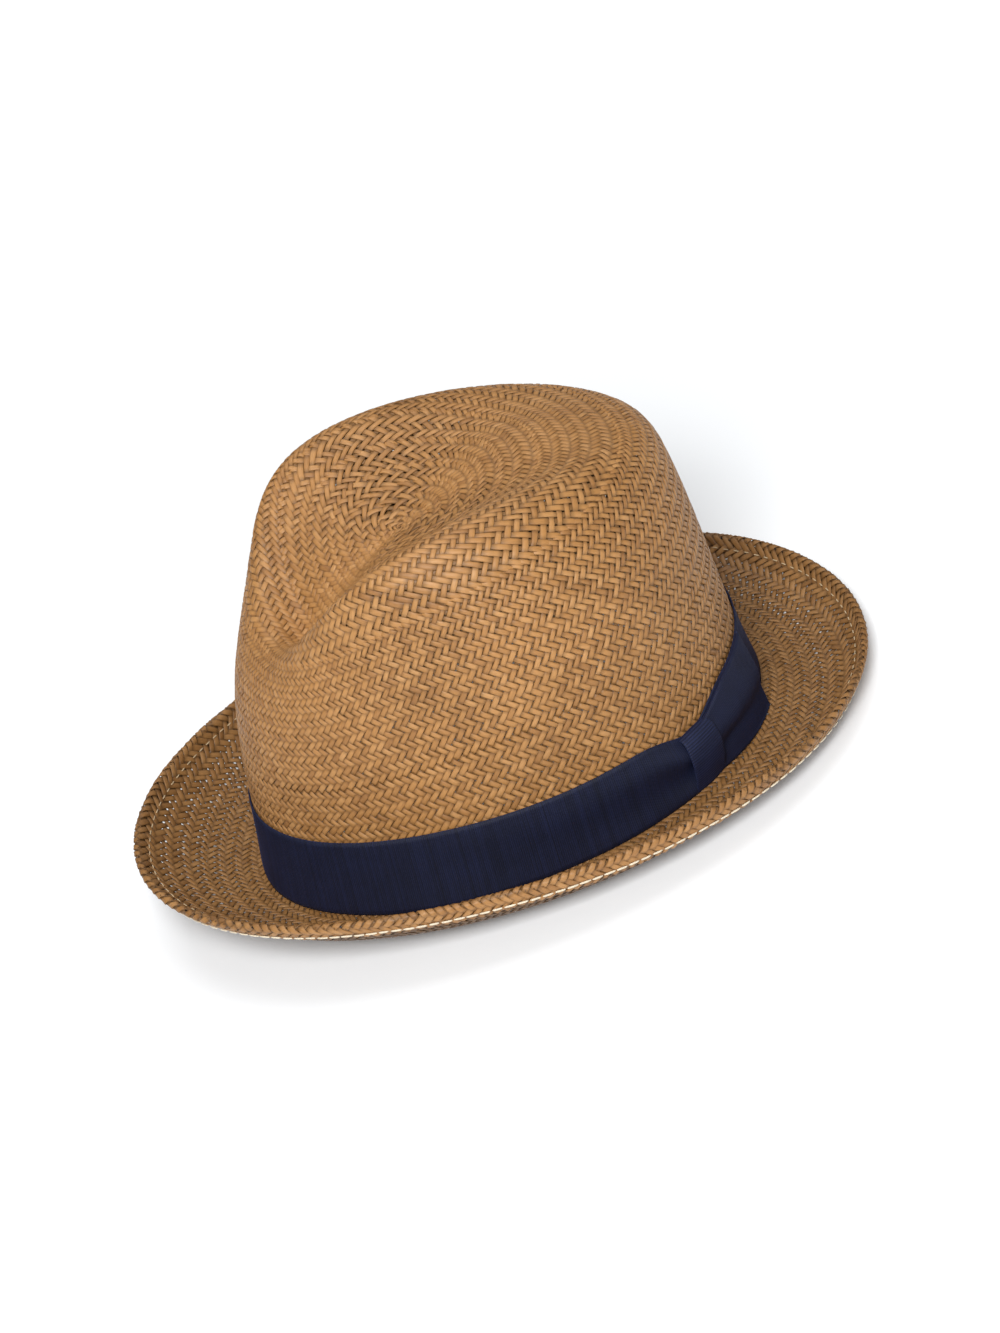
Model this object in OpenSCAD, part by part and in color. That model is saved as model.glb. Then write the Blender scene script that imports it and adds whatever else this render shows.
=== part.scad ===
/* [Head] */
// Half length of the crown at the brim break
base_half_len = 103.5; // [96:0.5:110]
// Half width of the crown at the brim break
base_half_wid = 85.5; // [78:0.5:92]
// Thickness of the woven straw
straw_t = 1.2; // [0.8:0.1:1.6]

/* [Brim] */
// Brim width at the front
brim_front = 56.5; // [45:0.5:60]
// Brim width at the sides
brim_side = 39.5; // [34:0.5:46]
// Brim width at the back
brim_back = 51; // [40:0.5:54]
// Slope of the brim where it leaves the crown, degrees: front
break_front = 15; // [5:1:25]
// Slope of the brim where it leaves the crown, degrees: sides
break_side = -9; // [-12:1:10]
// Slope of the brim where it leaves the crown, degrees: back
break_back = -20; // [-24:1:5]
// Slope of the curled edge, degrees: front
edge_front = 62.5; // [40:0.5:75]
// Slope of the curled edge, degrees: sides
edge_side = 93; // [60:1:96]
// Slope of the curled edge, degrees: back
edge_back = 59.5; // [30:0.5:70]
// Width of the hem turned under the brim
hem_w = 7.5; // [6.5:0.5:10]

/* [Ribbon] */
// Height of the hat band
band_h = 31.5; // [25:0.5:36]
// Width of the bow keeper
keeper_w = 16; // [12:0.5:20]
// Where the keeper sits, degrees from the front toward the wearer's left
keeper_at = 120; // [110:1:126]
// Length of the bow wing, degrees round the crown
wing_deg = 30; // [24:1:34]

/* [Sweatband] */
// Height of the sweatband
sweat_h = 33; // [28:1:38]
// Thickness of the sweatband
sweat_t = 0.9; // [0.6:0.1:1.2]

/* [Hidden] */
cols = 80;            // columns round the hat
crown_rows = 19;      // rows from the crown centre to the fillet
fillet = 4;           // length of the turn from crown to brim
fold_r = 1.2;         // middle radius of the hem fold
curl_front = 1.35;    // how late the brim curls up: 1 is a round arc
curl_side = 1.55;
curl_back = 2.4;
clear = 0.35;         // air between cloth and straw
ribbon_t = 0.8;
egg = 0.09;           // the back of the head oval is fuller than the front

// Control rings of the crown, from the crease floor down to the wall:
// half length, half width, y, z, three width terms, three height terms, y term
crease_floor = [33, 12.5, -8.5, 115.5, 0, 0, 0, -8, -2, -1, 0];
crease_side = [45.5, 39.5, -12.5, 116.5, 0.04, -0.07, -0.08, -19, -8, -6.5, 5];
ridge = [79, 54, 0, 127.5, -0.25, -0.02, -0.07, -9, -18, -1, 15.5];
shoulder = [93.5, 76.5, 4.5, 107, -0.13, -0.05, 0, -10.5, -7, 1, 4];
wall = [99, 85.5, 3.5, 59, -0.17, -0.02, 0.01, 0, -1, 0, -0.5];
crown_mid = [0, -5.5, 115.5];
pinch_depth = 0.11;   // share of the width taken in by each front pinch
pinch_at = 58;
pinch_spread = 24;

function lerp(a, b, w) = a + (b - a) * w;
function unit(v) = v / norm(v);
function ring_pt(r, f, p = 0) = let (c = cos(f), c2 = cos(2 * f), c3 = cos(3 * f), d = min(f, 360 - f))
    [r[1] * sin(f) * (1 + r[4] * c + r[5] * c2 + r[6] * c3)
         * (1 - p * exp(-pow((d - pinch_at) / pinch_spread, 2))),
     r[2] - r[0] * c + r[10] * c2,
     r[3] + r[7] * c + r[8] * c2 + r[9] * c3];
function base_pt(f) = [base_half_wid * sin(f) * (1 - egg * cos(f)), -base_half_len * cos(f), 0];
function out_dir(f) = let (d = base_pt(f + 0.5) - base_pt(f - 0.5)) unit([d[1], -d[0], 0]);

// Cubic spline through the seven control points of one column, t from 0 to 4
function knot(i) = min(max(i - 3, 0), 4);
function share(t, j, r) = (t - knot(j)) / (knot(j + 4 - r) - knot(j));
function spline(p, t) = let (s = min(floor(t), 3), k = s + 3,
    a1 = lerp(p[s], p[s + 1], share(t, k - 2, 1)),
    b1 = lerp(p[s + 1], p[s + 2], share(t, k - 1, 1)),
    c1 = lerp(p[s + 2], p[s + 3], share(t, k, 1)),
    a2 = lerp(a1, b1, share(t, k - 1, 2)),
    b2 = lerp(b1, c1, share(t, k, 2))) lerp(a2, b2, share(t, k, 3));
function column(f) = [crown_mid, ring_pt(crease_floor, f), ring_pt(crease_side, f), ring_pt(ridge, f),
    ring_pt(shoulder, f, pinch_depth), ring_pt(wall, f), base_pt(f) + [0, 0, fillet]];

// Brim: width, slope at a share q of the width, and the curled section out to s, up from the middle
function three(front, side, back, f) = let (m = (front + back) / 2)
    (m + side) / 2 + (front - back) / 2 * cos(f) + (m - side) / 2 * cos(2 * f);
function brim_w(f) = three(brim_front, brim_side, brim_back, f);
function slope(f, q) = lerp(three(break_front, break_side, break_back, f),
    three(edge_front, edge_side, edge_back, f), pow(max(q, 0), three(curl_front, curl_side, curl_back, f)));
gauss = [[0.1127, 5 / 18], [0.5, 8 / 18], [0.8873, 5 / 18]];
function total(v) = v * [for (x = v) 1];
function run(f, s) = let (w = brim_w(f)) s * total([for (g = gauss) g[1] * cos(slope(f, s * g[0] / w))]);
function climb(f, s) = let (w = brim_w(f)) s * total([for (g = gauss) g[1] * sin(slope(f, s * g[0] / w))]);
function drop(f) = fillet * (sqrt(max(1 + 4 * sin(slope(f, 0)), 0.05)) - 1) / 2;
function brim_pt(f, s, up = 0) = let (a = slope(f, s / brim_w(f)))
    base_pt(f) + out_dir(f) * (run(f, s) - up * sin(a)) + [0, 0, climb(f, s) + up * cos(a) - drop(f)];
function turn_pt(f, w) = let (p0 = base_pt(f) + [0, 0, fillet], p1 = base_pt(f) - [0, 0, drop(f)],
    p2 = brim_pt(f, fillet)) lerp(lerp(p0, p1, w), lerp(p1, p2, w), w);
function fold_pt(f, a) = brim_pt(f, brim_w(f) - fold_r + fold_r * sin(a), fold_r * cos(a) - fold_r);

brim_share = [0.15, 0.3, 0.45, 0.58, 0.7, 0.8, 0.89, 0.95];
function sheet_col(f) = let (p = column(f), w = brim_w(f)) concat(
    [for (i = [1:crown_rows]) spline(p, 4 * i / crown_rows)],
    [for (i = [1:4]) turn_pt(f, i / 4)],
    [for (q = brim_share) brim_pt(f, lerp(fillet, w - fold_r, q))],
    [for (a = [0:45:180]) fold_pt(f, a)],
    [for (q = [1 / 3, 2 / 3, 1]) brim_pt(f, w - fold_r - q * hem_w, lerp(-2 * fold_r, -straw_t - 0.3, q))]);

sheet = [for (j = [0:cols - 1]) sheet_col(j * 360 / cols)];
rows = len(sheet[0]);
function at(j, i) = sheet[(j + cols) % cols][min(max(i, 0), rows - 1)];
function sheet_n(j, i) = unit(cross(at(j, i + 1) - at(j, i - 1), at(j + 1, i) - at(j - 1, i)));
function side_pts(d) = [for (i = [0:rows - 1]) for (j = [0:cols - 1]) at(j, i) + sheet_n(j, i) * d];
top_pts = side_pts(straw_t / 2);
low_pts = side_pts(-straw_t / 2);

// Place: centred on the box of the straw, resting on the lowest ring of the break
ys = [for (p = concat(top_pts, low_pts)) p[1]];
zs = [for (p = concat(top_pts, low_pts)) p[2]];
place = [0, -(min(ys) + max(ys)) / 2, -min(zs)];

// A tube or strip round the hat: one section per column, closed or with two ends
function loop_faces(n, m, closed) = [for (j = [0:n - (closed ? 1 : 2)]) for (k = [0:m - 1])
    let (a = j * m + k, b = j * m + (k + 1) % m, c = ((j + 1) % n) * m + (k + 1) % m, d = ((j + 1) % n) * m + k)
    each [[a, b, c], [a, c, d]]];
function end_caps(n, m) = [for (k = [0:m / 2 - 2])
    let (e = (n - 1) * m, a = k, b = k + 1, c = m - 2 - k, d = m - 1 - k)
    each [[b, a, d], [c, b, d], [e + a, e + b, e + d], [e + b, e + c, e + d]]];
module strip(secs, closed = true) {
    n = len(secs);
    m = len(secs[0]);
    f = closed ? loop_faces(n, m, true) : concat(loop_faces(n, m, false), end_caps(n, m));
    polyhedron([for (s = secs) for (p = s) p], f, convexity = 8);
}

// Crown wall at a given height, pushed out by d
function wall_t(p, z, lo = 2.6, hi = 4, n = 12) = n == 0 ? (lo + hi) / 2 :
    let (m = (lo + hi) / 2) spline(p, m)[2] > z ? wall_t(p, z, m, hi, n - 1) : wall_t(p, z, lo, m, n - 1);
function wall_pt(f, z, d) = let (p = column(f), q = z <= fillet ? base_pt(f) + [0, 0, z] : spline(p, wall_t(p, z)))
    q + out_dir(f) * d;

module straw_body() {
    n = rows * cols;
    quads = [for (i = [0:rows - 2]) for (j = [0:cols - 1])
        let (k = (j + 1) % cols, a = i * cols + j, b = i * cols + k, c = a + cols, d = b + cols)
        each [[a, b, d], [a, d, c], [n + a, n + d, n + b], [n + a, n + c, n + d]]];
    rim = [for (j = [0:cols - 1]) let (k = (j + 1) % cols, a = (rows - 1) * cols + j, b = (rows - 1) * cols + k)
        each [[a, b, n + b], [a, n + b, n + a]]];
    fans = [for (j = [0:cols - 1]) let (k = (j + 1) % cols) each [[2 * n, k, j], [2 * n + 1, n + j, n + k]]];
    color([0.72, 0.52, 0.32]) translate(place)
        polyhedron(concat(top_pts, low_pts, [crown_mid + [0, 0, straw_t / 2], crown_mid - [0, 0, straw_t / 2]]),
            concat(quads, rim, fans), convexity = 10);
}

// Wire in the hem fold, its two ends in the ferrule at the back
wire_r = 0.34;
function wire_mid(f) = brim_pt(f, brim_w(f) - fold_r, -fold_r);
function dir_at(f) = unit(wire_mid(f + 1) - wire_mid(f - 1));
function tube_sec(c, t, r, m) = let (u = unit(cross(t, [0, 0, 1])), v = cross(u, t))
    [for (k = [0:m - 1]) c + r * (u * cos(k * 360 / m) + v * sin(k * 360 / m))];
seg = 360 / cols;
wire_end = (wire_mid(180 - seg / 2) + wire_mid(180 + seg / 2)) / 2;
module brim_wire() {
    mids = [for (j = [0:cols - 1]) wire_mid(180 + seg / 2 + j * seg)];
    dirs = [for (j = [0:cols - 1]) dir_at(180 + seg / 2 + j * seg)];
    pts = concat([wire_end + [-0.15, 0, 0]], mids, [wire_end + [0.15, 0, 0]]);
    tans = concat([[-1, 0, 0]], dirs, [[-1, 0, 0]]);
    color([0.75, 0.76, 0.78]) translate(place)
        strip([for (i = [0:len(pts) - 1]) tube_sec(pts[i], tans[i], wire_r, 6)], false);
}
module brim_wire_ferrule() {
    color([0.8, 0.72, 0.45]) translate(place + wire_end) rotate([0, 90, 0]) difference() {
        cylinder(h = 6, r = 0.5, center = true, $fn = 24);
        cylinder(h = 7, r = 0.4, center = true, $fn = 24);
    }
}

// Lockstitch dashes on both faces of the hem
stitches = 168;
stitch_in = hem_w - 2.1;
module dash(f, s, up, len) {
    a = brim_pt(f - 0.4, brim_w(f - 0.4) - s, up);
    b = brim_pt(f + 0.4, brim_w(f + 0.4) - s, up);
    d = b - a;
    translate((a + b) / 2) rotate([0, -asin(d[2] / norm(d)), atan2(d[1], d[0])])
        rotate([slope(f, 1 - s / brim_w(f)), 0, 0]) cube([len, 0.7, 0.35], center = true);
}
module hem_stitching() {
    color([0.93, 0.89, 0.78]) translate(place) for (i = [0:stitches - 1]) {
        f = (i + 0.5) * 360 / stitches;
        dash(f, stitch_in, -straw_t * 1.5 - 1, 3.4);
        dash(f, stitch_in, straw_t / 2 + 0.4, 2.4);
    }
}

// Hat band: an open ring whose ends meet under the keeper, drawn in there
function band_top(f) = band_h + 0.8 - 7 * exp(-pow((f - keeper_at) / 9, 2));
module hat_band() {
    gap = 0.4;
    secs = [for (j = [0:cols]) let (f0 = keeper_at + gap + j * (360 - 2 * gap) / cols, f = f0 % 360, h = band_top(f))
        concat([for (q = [0:3]) wall_pt(f, lerp(1.2, h, q / 3), straw_t / 2 + clear)],
               [for (q = [3:-1:0]) wall_pt(f, lerp(1.2, h, q / 3), straw_t / 2 + clear + ribbon_t)])];
    color([0.11, 0.16, 0.30]) translate(place) strip(secs, false);
}

// Bow wing: two layers of ribbon standing a little off the band, pleated at the keeper
band_out = straw_t / 2 + clear + ribbon_t;
wing_t = 1.5;
function wing_pt(u, v, d) = let (f = keeper_at + 1 + u * (wing_deg - 3 * (1 - v)),
    lo = lerp(2.5, 1.6, u), hi = lerp(24, 27, u), stand = 0.4 + 3.4 * u * (1 - v),
    pleat = 0.9 * (1 - u) * pow(sin(180 * v), 2))
    wall_pt(f, lerp(lo, hi, v), band_out + stand + pleat + d);
module bow_wing() {
    nu = 12;
    nv = 6;
    secs = [for (i = [0:nu]) concat([for (k = [0:nv]) wing_pt(i / nu, k / nv, 0)],
                                    [for (k = [nv:-1:0]) wing_pt(i / nu, k / nv, wing_t)])];
    color([0.13, 0.18, 0.33]) translate(place) strip(secs, false);
}

// Keeper: a narrow ribbon over band and wing, its ends turned in past the band's edges
keeper_deg = keeper_w / 1.62;
function keeper_sec(f) = let (o = band_out + wing_t + 1.7, z0 = 0.2, z1 = 26.5) [
    wall_pt(f, z0, band_out - 0.1), wall_pt(f, z0, o - 0.6), wall_pt(f, z0 + 1.2, o + ribbon_t),
    wall_pt(f, 13, o + ribbon_t + 0.5), wall_pt(f, z1 - 1, o + ribbon_t - 0.4), wall_pt(f, z1, o - 0.8),
    wall_pt(f, z1, band_out - 0.6), wall_pt(f, z1 - ribbon_t, band_out - 0.6),
    wall_pt(f, z1 - ribbon_t, o - 1.3), wall_pt(f, z1 - 1.8, o - 0.4), wall_pt(f, 13, o + 0.5),
    wall_pt(f, z0 + 1.8, o), wall_pt(f, z0 + ribbon_t, o - 1), wall_pt(f, z0 + ribbon_t, band_out - 0.1)];
module bow_keeper() {
    n = 8;
    secs = [for (i = [0:n]) keeper_sec(keeper_at + (i / n - 0.5) * keeper_deg)];
    color([0.15, 0.21, 0.38]) translate(place) strip(secs, false);
}

// Sweatband: cloth strip inside the head opening, its lower edge folded round the reed
reed_r = 0.9;
reed_z = 4.2;
reed_in = 3.1;
function in_pt(f, z, d) = wall_pt(f, z, -straw_t / 2 - d);
function sweat_sec(f) = let (r0 = reed_r + 0.15, r1 = r0 + sweat_t) concat(
    [in_pt(f, sweat_h, clear), in_pt(f, sweat_h * 0.6, clear + 0.6), in_pt(f, reed_z + 5, reed_in + r0 - 0.4)],
    [for (a = [0:60:180]) in_pt(f, reed_z - r0 * sin(a), reed_in + r0 * cos(a))],
    [in_pt(f, reed_z + 4, reed_in - r0 - 0.2), in_pt(f, reed_z + 4, reed_in - r1 - 0.2)],
    [for (a = [180:-60:0]) in_pt(f, reed_z - r1 * sin(a), reed_in + r1 * cos(a))],
    [in_pt(f, reed_z + 5, reed_in + r1 - 0.4), in_pt(f, sweat_h * 0.6, clear + 0.6 + sweat_t),
     in_pt(f, sweat_h, clear + sweat_t)]);
module sweatband() {
    secs = [for (j = [0:cols - 1]) let (s = sweat_sec(j * 360 / cols)) [for (k = [len(s) - 1:-1:0]) s[k]]];
    color([0.86, 0.80, 0.68]) translate(place) strip(secs);
}
module sweatband_reed() {
    secs = [for (j = [0:cols - 1]) let (f = j * 360 / cols)
        [for (a = [0:60:300]) in_pt(f, reed_z + reed_r * sin(a), reed_in + reed_r * cos(a))]];
    color([0.95, 0.94, 0.9]) translate(place) strip(secs);
}

// Dashes along the sweatband just above the reed fold
module sweatband_stitching() {
    count = 110;
    color([0.93, 0.89, 0.78]) translate(place) for (i = [0:count - 1]) {
        f = (i + 0.5) * 360 / count;
        n = out_dir(f);
        translate(in_pt(f, reed_z + 3.6, reed_in + reed_r + sweat_t + 0.35)) rotate([0, 0, atan2(n[1], n[0]) + 90])
            cube([2.8, 0.3, 0.5], center = true);
    }
}

// Small flat bow over the back join of the sweatband
module sweatband_bow() {
    o = in_pt(180, 16, clear + 1.5 + sweat_t);
    color([0.11, 0.16, 0.30]) translate(place + o + [0, -1.1, 0]) rotate([90, 0, 0]) {
        for (s = [-1, 1]) linear_extrude(height = 0.8, center = true)
            polygon([[s * 1.5, -1.5], [s * 9, -4.5], [s * 9.5, 4], [s * 1.5, 1.5]]);
        translate([0, 0, -0.1]) cylinder(h = 1.4, r = 2, center = true, $fn = 32);
    }
}

label_at = 205;
module on_sweatband(z, gap) {
    n = out_dir(label_at);
    translate(in_pt(label_at, z, gap)) rotate([0, 0, atan2(n[1], n[0]) + 90]) children();
}
module size_label() {
    color([0.95, 0.95, 0.93]) translate(place) on_sweatband(20, clear + 3.1) cube([16, 0.3, 11], center = true);
}
module size_label_stitches() {
    color([0.2, 0.25, 0.4]) translate(place) on_sweatband(20, clear + 3.5) for (s = [-1, 1])
        translate([s * 6.5, 0, 4]) cube([1.6, 0.25, 0.5], center = true);
}

straw_body();
brim_wire();
brim_wire_ferrule();
hem_stitching();
hat_band();
bow_wing();
bow_keeper();
sweatband();
sweatband_reed();
sweatband_stitching();
sweatband_bow();
size_label();
size_label_stitches();
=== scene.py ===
import bpy
import math
import numpy as np
from mathutils import Vector, Matrix


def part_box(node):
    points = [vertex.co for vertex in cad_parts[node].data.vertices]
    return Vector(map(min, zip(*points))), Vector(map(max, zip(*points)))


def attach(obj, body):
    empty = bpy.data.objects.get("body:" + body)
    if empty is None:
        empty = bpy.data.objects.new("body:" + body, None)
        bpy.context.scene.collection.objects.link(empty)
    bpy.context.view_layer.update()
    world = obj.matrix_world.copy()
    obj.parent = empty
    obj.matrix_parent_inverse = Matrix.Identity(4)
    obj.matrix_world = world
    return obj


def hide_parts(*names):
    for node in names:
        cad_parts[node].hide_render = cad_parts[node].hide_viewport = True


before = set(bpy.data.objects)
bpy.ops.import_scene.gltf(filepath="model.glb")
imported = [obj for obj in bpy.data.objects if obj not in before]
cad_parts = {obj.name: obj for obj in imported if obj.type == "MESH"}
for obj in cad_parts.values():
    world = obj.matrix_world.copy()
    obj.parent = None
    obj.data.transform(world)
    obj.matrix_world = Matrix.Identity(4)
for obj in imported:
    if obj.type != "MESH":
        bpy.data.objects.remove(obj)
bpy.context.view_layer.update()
rng = np.random.default_rng(7)
MM = 0.001

# ---------------------------------------------------------------- shape
# The same rules as the CAD, in millimetres: the crown is a spline through control rings,
# then the turn, the brim, the fold round the wire and the hem underneath.
HALF_LEN, HALF_WID, EGG = 103.5, 85.5, 0.09
STRAW_T, FILLET, FOLD_R, HEM_W = 1.2, 4.0, 1.2, 7.5
RINGS = [  # half length, half width, y, z, width terms, height terms, y term, pinch
    (33, 12.5, -8.5, 115.5, 0, 0, 0, -8, -2, -1, 0, 0),
    (45.5, 39.5, -12.5, 116.5, 0.04, -0.07, -0.08, -19, -8, -6.5, 5, 0),
    (79, 54, 0, 127.5, -0.25, -0.02, -0.07, -9, -18, -1, 15.5, 0),
    (93.5, 76.5, 4.5, 107, -0.13, -0.05, 0, -10.5, -7, 1, 4, 0.11),
    (99, 85.5, 3.5, 59, -0.17, -0.02, 0.01, 0, -1, 0, -0.5, 0),
]
CROWN_MID = (0.0, -5.5, 115.5)
PINCH_AT, PINCH_SPREAD = 58, 24  # degrees from the front
# Front, side and back of the brim: width along the curl, slope at the break and at the rim in degrees,
# and the power that says how late along the section the slope changes
BRIM_WIDTH = (56.5, 39.5, 51.0)
BREAK_SLOPE = (15.0, -9.0, -20.0)
EDGE_SLOPE = (62.5, 93.0, 59.5)
CURL = (1.35, 1.55, 2.4)


def three(front, side, back, f):
    m = (front + back) / 2
    return (m + side) / 2 + (front - back) / 2 * np.cos(f) + (m - side) / 2 * np.cos(2 * f)


def base_pt(f):
    return np.stack([HALF_WID * np.sin(f) * (1 - EGG * np.cos(f)), -HALF_LEN * np.cos(f), 0 * f], -1)


def out_dir(f):
    d = base_pt(f + 0.01) - base_pt(f - 0.01)
    n = np.stack([d[..., 1], -d[..., 0], 0 * f], -1)
    return n / np.linalg.norm(n, axis=-1, keepdims=True)


def brim_w(f):
    return three(*BRIM_WIDTH, f)


def slope(f, q):
    a0, a1 = three(*BREAK_SLOPE, f), three(*EDGE_SLOPE, f)
    return np.radians(a0 + (a1 - a0) * np.maximum(q, 0) ** three(*CURL, f))


def drop(f):
    return FILLET * (np.sqrt(np.maximum(1 + 4 * np.sin(slope(f, 0 * f)), 0.05)) - 1) / 2


def brim_pt(f, s, up=0.0):
    """s out along the curled section and up from its middle."""
    w = brim_w(f)
    a = slope(f, s / w)
    parts = [(wt, slope(f, s * g / w)) for g, wt in ((0.1127, 5 / 18), (0.5, 8 / 18), (0.8873, 5 / 18))]
    run, climb = (s * sum(wt * fn(x) for wt, x in parts) for fn in (np.cos, np.sin))
    p = base_pt(f) + out_dir(f) * (run - up * np.sin(a))[..., None]
    p[..., 2] += climb + up * np.cos(a) - drop(f)
    return p


def ring_pt(r, f):
    c, c2, c3 = np.cos(f), np.cos(2 * f), np.cos(3 * f)
    deg = np.degrees(f) % 360
    d = np.minimum(deg, 360 - deg)
    pinch = 1 - r[11] * np.exp(-((d - PINCH_AT) / PINCH_SPREAD) ** 2)
    x = r[1] * np.sin(f) * (1 + r[4] * c + r[5] * c2 + r[6] * c3) * pinch
    return np.stack([x, r[2] - r[0] * c + r[10] * c2, r[3] + r[7] * c + r[8] * c2 + r[9] * c3], -1)


def spline_basis(ts):
    knots = np.array([0, 0, 0, 0, 1, 2, 3, 4, 4, 4, 4], float)
    t = np.minimum(ts, 4 - 1e-9)[:, None]
    n = ((knots[:-1] <= t) & (t < knots[1:])).astype(float)
    for d in (1, 2, 3):
        m = len(knots) - 1 - d
        a = np.zeros((len(ts), m))
        for k in range(m):
            if knots[k + d] > knots[k]:
                a[:, k] += (t[:, 0] - knots[k]) / (knots[k + d] - knots[k]) * n[:, k]
            if knots[k + d + 1] > knots[k + 1]:
                a[:, k] += (knots[k + d + 1] - t[:, 0]) / (knots[k + d + 1] - knots[k + 1]) * n[:, k + 1]
        n = a
    return n


# Columns of equal arc length round the head oval, so that the weave keeps one pitch
M = 720
dense = np.linspace(0, 2 * np.pi, 20001)
step = np.linalg.norm(np.diff(base_pt(dense), axis=0), axis=1)
arc = np.concatenate([[0], np.cumsum(step)])
ROUND = arc[-1]
phi = np.interp(np.arange(M) / M * ROUND, arc, dense)
lift = np.array([0.0, 0.0, 0.0])

controls = np.stack([np.broadcast_to(np.array(CROWN_MID), (M, 3))] + [ring_pt(r, phi) for r in RINGS]
                    + [base_pt(phi) + np.array([0, 0, FILLET])])
crown = np.tensordot(spline_basis(np.linspace(0, 4, 600)), controls, axes=(1, 0))
lens = np.linalg.norm(np.diff(crown, axis=0), axis=2)
s_up = np.concatenate([np.zeros((1, M)), np.cumsum(lens[::-1], axis=0)])  # from the turn upward
TOP = float(s_up[-1].mean())
DU = 0.5
n_up = int(TOP / DU)
up_tab = np.empty((n_up + 1, M, 3))
flip = crown[::-1]
for j in range(M):
    want = np.linspace(0, s_up[-1, j], n_up + 1)
    for k in range(3):
        up_tab[:, j, k] = np.interp(want, s_up[:, j], flip[:, j, k])

# Below the turn: real distance along the section, to the end of the turned-under hem
turn_w = np.linspace(0, 1, 40)[:, None, None]
p0 = base_pt(phi) + np.array([0, 0, FILLET])
p1 = base_pt(phi) - np.stack([0 * phi, 0 * phi, drop(phi)], -1)
p2 = brim_pt(phi, np.full(M, FILLET))
turn = (p0 * (1 - turn_w) + p1 * turn_w) * (1 - turn_w) + (p1 * (1 - turn_w) + p2 * turn_w) * turn_w
flat = [brim_pt(phi, FILLET + (brim_w(phi) - FOLD_R - FILLET) * q) for q in np.linspace(0, 1, 90)[1:]]
fold = [brim_pt(phi, brim_w(phi) - FOLD_R + FOLD_R * math.sin(a), FOLD_R * math.cos(a) - FOLD_R)
        for a in np.linspace(0, np.pi, 16)[1:]]
hem = [brim_pt(phi, brim_w(phi) - FOLD_R - q * HEM_W, -2 * FOLD_R + (2 * FOLD_R - STRAW_T - 0.3) * q)
       for q in np.linspace(0, 1, 12)[1:]]
down = np.concatenate([turn, np.array(flat), np.array(fold), np.array(hem)])
s_dn = np.concatenate([np.zeros((1, M)), np.cumsum(np.linalg.norm(np.diff(down, axis=0), axis=2), axis=0)])
U_END = s_dn[-1]
n_dn = int(U_END.max() / DU) + 2
dn_tab = np.empty((n_dn, M, 3))
for j in range(M):
    want = np.arange(n_dn) * DU
    for k in range(3):
        dn_tab[:, j, k] = np.interp(want, s_dn[:, j], down[:, j, k])
    over = want > U_END[j]
    if over.any():  # carry the last direction on, so that the surface never stops inside the table
        d = down[-1, j] - down[-3, j]
        dn_tab[over, j] = down[-1, j] + (want[over] - U_END[j])[:, None] * d / np.linalg.norm(d)
TAB = np.concatenate([up_tab[::-1], dn_tab[1:]])  # row r is at u = -TOP + r * DU (scaled above the turn)
R0 = n_up
ROWS = len(TAB)

# Place on the CAD: same box centre and the same floor, leaving out the rows carried on past the hem's end
cad = np.array(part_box("straw_body")) / MM
real = TAB[(np.arange(ROWS) - R0)[:, None] * DU <= U_END[None]]
lift[1] = (cad[0][1] + cad[1][1] - real[:, 1].min() - real[:, 1].max()) / 2
lift[2] = cad[0][2] + STRAW_T / 2 - real[:, 2].min()
TAB = TAB + lift

du = np.gradient(TAB, axis=0)
dv = (np.roll(TAB, -1, 1) - np.roll(TAB, 1, 1)) / 2
NRM = np.cross(du, dv)
NRM /= np.linalg.norm(NRM, axis=2, keepdims=True) + 1e-12
if NRM[R0, 0, 1] > 0:
    NRM = -NRM
around = np.linalg.norm(np.roll(TAB, -1, 1) - TAB, axis=2).sum(1)
RHO = np.maximum(around / (2 * np.pi), 0.4)
U = (np.arange(ROWS) - R0) * DU


def sample(tab, r, c):
    """The table at fractional row r and column c, round the hat."""
    r = np.clip(r, 0, ROWS - 1.001)
    c = c % M
    i, j = np.floor(r).astype(int), np.floor(c).astype(int)
    a, b = (r - i)[..., None], (c - j)[..., None]
    k = (j + 1) % M
    j = j % M
    return (tab[i, j] * (1 - a) + tab[i + 1, j] * a) * (1 - b) + (tab[i, k] * (1 - a) + tab[i + 1, k] * a) * b


def surface(psi, u):
    """Point and normal at turn psi (radians of arc) and distance u below the turn line, in mm."""
    r, c = R0 + u / DU, psi / (2 * np.pi) * M
    n = sample(NRM, r, c)
    return sample(TAB, r, c), n / (np.linalg.norm(n, axis=-1, keepdims=True) + 1e-12)


def psi_of(deg):
    return np.interp(np.radians(np.asarray(deg, float) % 360), dense, arc) / ROUND * 2 * np.pi


def deg_of(psi):
    return np.degrees(np.interp((psi % (2 * np.pi)) / (2 * np.pi) * ROUND, arc, dense))


# ---------------------------------------------------------------- mesh helpers
def mesh_from(name, verts, quads, mats, attrs=None):
    me = bpy.data.meshes.new(name)
    v = np.ascontiguousarray(verts, np.float32)
    q = np.ascontiguousarray(quads, np.int32)
    me.vertices.add(len(v))
    me.vertices.foreach_set("co", (v * MM).ravel())
    me.loops.add(q.size)
    me.loops.foreach_set("vertex_index", q.ravel())
    me.polygons.add(len(q))
    me.polygons.foreach_set("loop_start", np.arange(0, q.size, q.shape[1], dtype=np.int32))
    me.update(calc_edges=True)
    me.polygons.foreach_set("use_smooth", np.full(len(q), True))
    for key, val in (attrs or {}).items():
        at = me.attributes.new(key, "FLOAT_VECTOR", "POINT")
        at.data.foreach_set("vector", np.ascontiguousarray(val, np.float32).ravel())
    for m in mats:
        me.materials.append(m)
    ob = bpy.data.objects.new(name, me)
    bpy.context.scene.collection.objects.link(ob)
    return ob


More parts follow.
